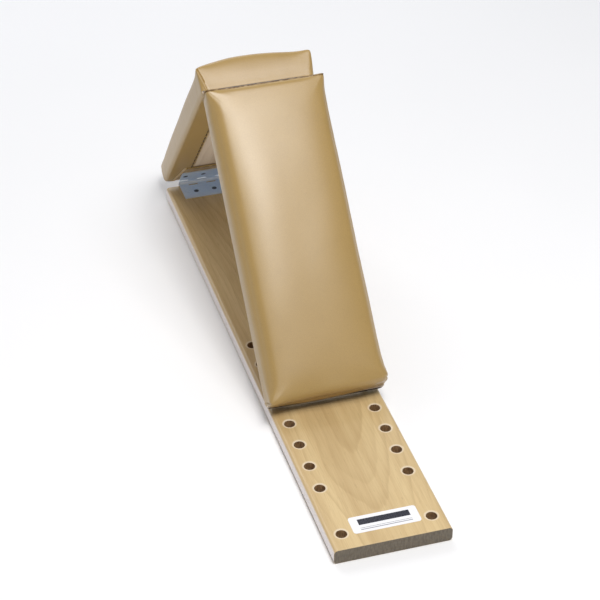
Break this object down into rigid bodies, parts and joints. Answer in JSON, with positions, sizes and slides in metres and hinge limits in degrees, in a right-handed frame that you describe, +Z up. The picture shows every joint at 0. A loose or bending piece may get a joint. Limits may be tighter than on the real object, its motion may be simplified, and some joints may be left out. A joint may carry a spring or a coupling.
{
  "type": "slant board",
  "caption": "Adjustable slant board: two padded panels hinged as an A-frame on a flat wooden base, with pegs that set the slope in rows of holes.",
  "frame": {"origin": "centre of the base board's underside, on the surface it stands on", "axes": "+Z up, +Y along the base towards the rear hinge, +X to the right seen from the front"},
  "size_m": [0.148, 0.7949, 0.3257],
  "materials": {
    "maple": "clear satin lacquer over light maple, grain lengthwise",
    "panel_wood": "bare sanded plywood",
    "vinyl": "tan upholstery vinyl, fine grain, soft sheen",
    "foam": "cut polyurethane foam, matte",
    "steel": "bright zinc plate",
    "steel_screw": "zinc plated screws",
    "staple_wire": "galvanised wire",
    "peg_steel": "turned steel, round tip",
    "label": "white printed label film"
  },
  "bodies": {
    "base": {"base_board": "maple", "label_plate": "label", "rear_hinge_base_leaf": "steel", "rear_hinge_base_screws": "steel_screw"},
    "rear_pin": {"rear_hinge_pin": "steel"},
    "back_panel": {"rear_hinge_panel_leaf": "steel", "rear_hinge_panel_screws": "steel_screw", "back_panel_board": "panel_wood", "back_foam_pad": "foam", "back_vinyl_cover": "vinyl", "back_cover_staples": "staple_wire", "apex_hinge_back_leaf": "steel", "apex_hinge_back_screws": "steel_screw"},
    "apex_pin": {"apex_hinge_pin": "steel"},
    "front_panel": {"apex_hinge_front_leaf": "steel", "apex_hinge_front_screws": "steel_screw", "front_panel_board": "panel_wood", "front_foam_pad": "foam", "front_vinyl_cover": "vinyl", "front_cover_staples": "staple_wire", "left_peg": "peg_steel", "right_peg": "peg_steel"}
  },
  "joints": [
    {"name": "rear_hinge_fold", "type": "hinge", "parent": "base", "child": "rear_pin", "pos_m": [0, 0.381, 0.02265], "axis": [1, 0, 0], "range_deg": [0, 49.95]},
    {"name": "rear_hinge_raise", "type": "hinge", "parent": "rear_pin", "child": "back_panel", "pos_m": [0, 0.381, 0.02265], "axis": [-1, 0, 0], "range_deg": [0, 12.74]},
    {"name": "apex_hinge_fold", "type": "hinge", "parent": "back_panel", "child": "apex_pin", "pos_m": [0, 0.1513, 0.29594], "axis": [-1, 0, 0], "range_deg": [0, 95.64]},
    {"name": "apex_hinge_raise", "type": "hinge", "parent": "apex_pin", "child": "front_panel", "pos_m": [0, 0.1513, 0.29594], "axis": [1, 0, 0], "range_deg": [0, 23.22]}
  ],
  "couplings": [
    {"joint": "apex_hinge_fold", "follows": "rear_hinge_fold", "ratio": 1.9144},
    {"joint": "apex_hinge_raise", "follows": "rear_hinge_raise", "ratio": 1.8213}
  ]
}
